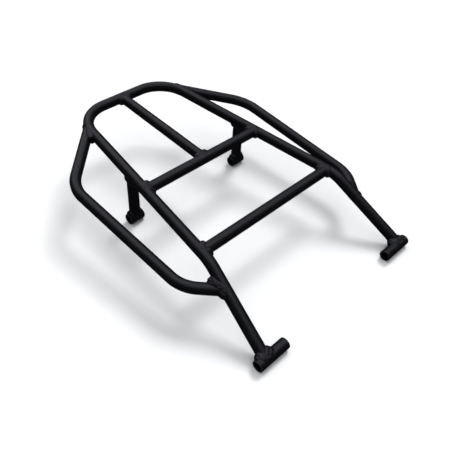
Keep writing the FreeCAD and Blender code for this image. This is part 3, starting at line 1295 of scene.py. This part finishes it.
@dataclass
class RearLegs:
    """Short upright legs under the rails."""

    plan: RackPlan
    top_bead: BeadSize = BeadSize(leg=6.6 * MM)

    def build(self) -> None:
        """Make both rear legs and the beads at their tops."""
        hoop = self.plan.hoop()
        radius = self.plan.tube_radius
        for side in Side:
            line = self.plan.rear_leg(side)
            foot = self.plan.sleeve_axis(End.REAR, side)
            Tube(f"{side.word}_rear_leg", line, radius, self.plan.tube_wall, hoop, foot).build()
            WeldBead(f"{side.word}_rear_leg_weld", Joint(line, hoop, radius), self.top_bead).build()


@dataclass
class Sleeves:
    """The four bolt sleeves, placed by the record's bores: two weld passes in front, one at the rear."""

    plan: RackPlan
    front_bead: BeadSize = BeadSize(
        leg=6.9 * MM, swell=0.95 * MM, groove=0.9 * MM, pitch=5.0 * MM, end_gap=1.0 * MM)
    rear_bead: BeadSize = BeadSize(leg=6.2 * MM, end_gap=1.0 * MM)

    def leg(self, end: End, side: Side) -> Centreline:
        """Find the leg that stands on one sleeve.

        Args:
            end: Front or rear.
            side: Half of the rack.

        Returns:
            The last straight run of its centreline, from the sleeve up.
        """
        if end is End.REAR:
            return self.plan.rear_leg(side).backwards()
        hoop = self.plan.hoop()
        if side is Side.RIGHT:
            return hoop.backwards()
        return Centreline([hoop.pieces[0].start, hoop.pieces[0].end])

    def build(self) -> None:
        """Make the sleeves and the beads that hold them."""
        radius = self.plan.tube_radius
        for side in Side:
            for end, size in ((End.FRONT, self.front_bead), (End.REAR, self.rear_bead)):
                name = f"{side.word}_{end.value}_sleeve"
                bore = self.plan.sleeve_bore(end, side)
                middle, dims = np.array(bore["pos_m"]), bore["dims"]
                Sleeve(name, middle, dims["length_mm"] * MM, radius, dims["r_mm"] * MM).build()
                joint = Joint(self.leg(end, side), self.plan.sleeve_axis(end, side), radius)
                WeldBead(f"{name}_weld", joint, size).build()


# ---------------------------------------------------------------- studio


@dataclass(frozen=True)
class Camera:
    """Viewpoint over the left front corner."""

    place: Triple = (-0.50694, -0.48392, 0.65066)
    aim: Triple = (-0.06074, -0.07898, 0.06)
    lean_degrees: float = -4.503
    lens: float = 44.333
    sensor: float = 36.0
    view_distance: float = 20.0

    def build(self) -> None:
        """Set the camera up."""
        forward = unit(np.array(self.aim) - np.array(self.place))
        level = unit(np.cross(forward, np.array([0.0, 0.0, 1.0])))
        upright = np.cross(level, forward)
        lean = math.radians(self.lean_degrees)
        up = upright * math.cos(lean) + level * math.sin(lean)
        right = np.cross(forward, up)
        data = bpy.data.cameras.new("camera")
        data.lens = self.lens
        data.sensor_width = self.sensor
        data.clip_end = self.view_distance
        camera = bpy.data.objects.new("camera", data)
        turn = Matrix((right, up, -forward)).transposed().to_4x4()
        camera.matrix_world = Matrix.Translation(self.place) @ turn
        bpy.context.scene.collection.objects.link(camera)
        bpy.context.scene.camera = camera


@dataclass(frozen=True)
class Sky:
    """Soft light from all round: one long bright window overhead, on a white backdrop.

    The window's edges are given on a ceiling one metre up, and it glows through a dim sky.
    """

    shade: Triple = (0.97, 0.98, 1.0)
    window_x: Pair = (-0.54, 1.1)
    window_y: Pair = (-0.65, 2.6)
    edge: float = 0.24
    window_strength: float = 0.97
    overall: float = 0.045
    underside: float = 0.02
    horizon: Pair = (-0.12, 0.05)
    least_height: float = 0.02
    backdrop: float = 1.15

    def build(self) -> None:
        """Hang the sky."""
        world = bpy.data.worlds.new("studio")
        graph = Graph(world)
        background = graph.nodes["Background"]
        background.inputs["Color"].default_value = (*self.shade, 1.0)
        split = graph.nodes.new("ShaderNodeSeparateXYZ")
        graph.feed(split.inputs["Vector"], graph.nodes.new("ShaderNodeTexCoord").outputs["Generated"])
        height = graph.arithmetic("MAXIMUM", split.outputs["Z"], self.least_height)
        glow: Value = self.window_strength
        for axis, (start, end) in (("X", self.window_x), ("Y", self.window_y)):
            ceiling = graph.arithmetic("DIVIDE", split.outputs[axis], height)
            for limit, levels in ((start, (0.0, 1.0)), (end, (1.0, 0.0))):
                span = (limit - self.edge, limit + self.edge)
                side = graph.ramp(ceiling, span, levels, "SMOOTHSTEP")
                glow = graph.arithmetic("MULTIPLY", side, glow)
        dim = graph.ramp(
            split.outputs["Z"], self.horizon, (self.underside, self.overall), "SMOOTHSTEP")
        level = graph.arithmetic("ADD", glow, dim)
        seen = graph.nodes.new("ShaderNodeLightPath").outputs["Is Camera Ray"]
        strength = graph.mix(Blend.NUMBERS, seen, level, self.backdrop)
        graph.feed(background.inputs["Strength"], strength)
        bpy.context.scene.world = world


@dataclass(frozen=True)
class FarLight:
    """Round light, far enough away to light the whole floor alike, and hidden from gloss."""

    name: str
    towards: Triple
    strength: float
    spread_degrees: float

    def build(self) -> None:
        """Hang the light."""
        light = bpy.data.lights.new(self.name, "SUN")
        light.energy = self.strength
        light.angle = math.radians(self.spread_degrees)
        lamp = bpy.data.objects.new(self.name, light)
        lamp.rotation_euler = (-Vector(self.towards)).to_track_quat("-Z", "Y").to_euler()
        lamp.visible_glossy = False
        bpy.context.scene.collection.objects.link(lamp)


@dataclass(frozen=True)
class Floor:
    """Pale matt floor on the ground plane, with a faint mottling."""

    size: float = 12.0
    shade: Triple = (0.86, 0.865, 0.87)
    mottle: Texture = Texture(0.35, 3.0, 0.5)
    mottle_tone: float = 0.985
    roughness: float = 0.9
    specular: float = 0.1

    def build(self) -> None:
        """Lay the floor."""
        half = self.size / 2
        corners = [(-half, -half, 0.0), (half, -half, 0.0), (half, half, 0.0), (-half, half, 0.0)]
        mesh = bpy.data.meshes.new("floor")
        mesh.from_pydata(corners, [], [(0, 1, 2, 3)])
        mesh.materials.append(self.material())
        floor = bpy.data.objects.new("floor", mesh)
        bpy.context.scene.collection.objects.link(floor)
        floor.visible_glossy = False
        floor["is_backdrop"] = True

    def material(self) -> bpy.types.Material:
        """Build the floor's finish.

        Returns:
            The material.
        """
        material = bpy.data.materials.new("pale_floor")
        graph = Graph(material)
        shader = graph.nodes["Principled BSDF"]
        place = graph.nodes.new("ShaderNodeTexCoord").outputs["Object"]
        stops = ((0.0, toned(self.shade, self.mottle_tone)), (1.0, toned(self.shade, 1.0)))
        graph.feed(shader.inputs["Base Color"], graph.colours(graph.noise(place, self.mottle), stops))
        shader.inputs["Roughness"].default_value = self.roughness
        shader.inputs["Specular IOR Level"].default_value = self.specular
        return material


@dataclass(frozen=True)
class Studio:
    """Pale floor, soft sky, and two lights that draw the shadow on the floor."""

    key: FarLight = FarLight("key_light", towards=(0.86, 0.31, 1.08), strength=1.9, spread_degrees=22.0)
    fill: FarLight = FarLight("fill_light", towards=(0.0, 0.0, 1.0), strength=0.97, spread_degrees=150.0)

    def build(self) -> None:
        """Set the studio up, shown with plain tones."""
        Floor().build()
        Sky().build()
        self.key.build()
        self.fill.build()
        bpy.context.scene.view_settings.view_transform = "Standard"


def write_sizes() -> None:
    """Work out the boxes of the CAD model and of the visual model, which are then not kept."""
    boxes = {"cad": CAD_BOX, "visual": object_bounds()}
    {name: [list(corner) for corner in box] for name, box in boxes.items()}


def main() -> None:
    """Build the rack, its finishes and the studio."""
    logging.basicConfig(level=logging.INFO, format="%(name)s: %(message)s", stream=sys.stdout)
    tube_coat = PowderCoat(Slot.FRAME)
    sleeve_coat = PowderCoat(Slot.SLEEVE, pebbles=Texture(0.8 * MM, 2.0, 0.45))
    weld_coat = PowderCoat(
        Slot.WELD, roughness=(0.28, 0.38), pebbles=Texture(0.7 * MM, 2.0, 0.45))
    for coat in (tube_coat, sleeve_coat, weld_coat):
        FINISHES[coat.slot] = coat.material()
    plan = RackPlan()
    for assembly in (MainFrame(plan), SideRails(plan), RearLegs(plan), Sleeves(plan)):
        assembly.build()
        log.info("%s is done", type(assembly).__name__)
    Studio().build()
    Camera().build()
    write_sizes()


if __name__ == "__main__":
    main()
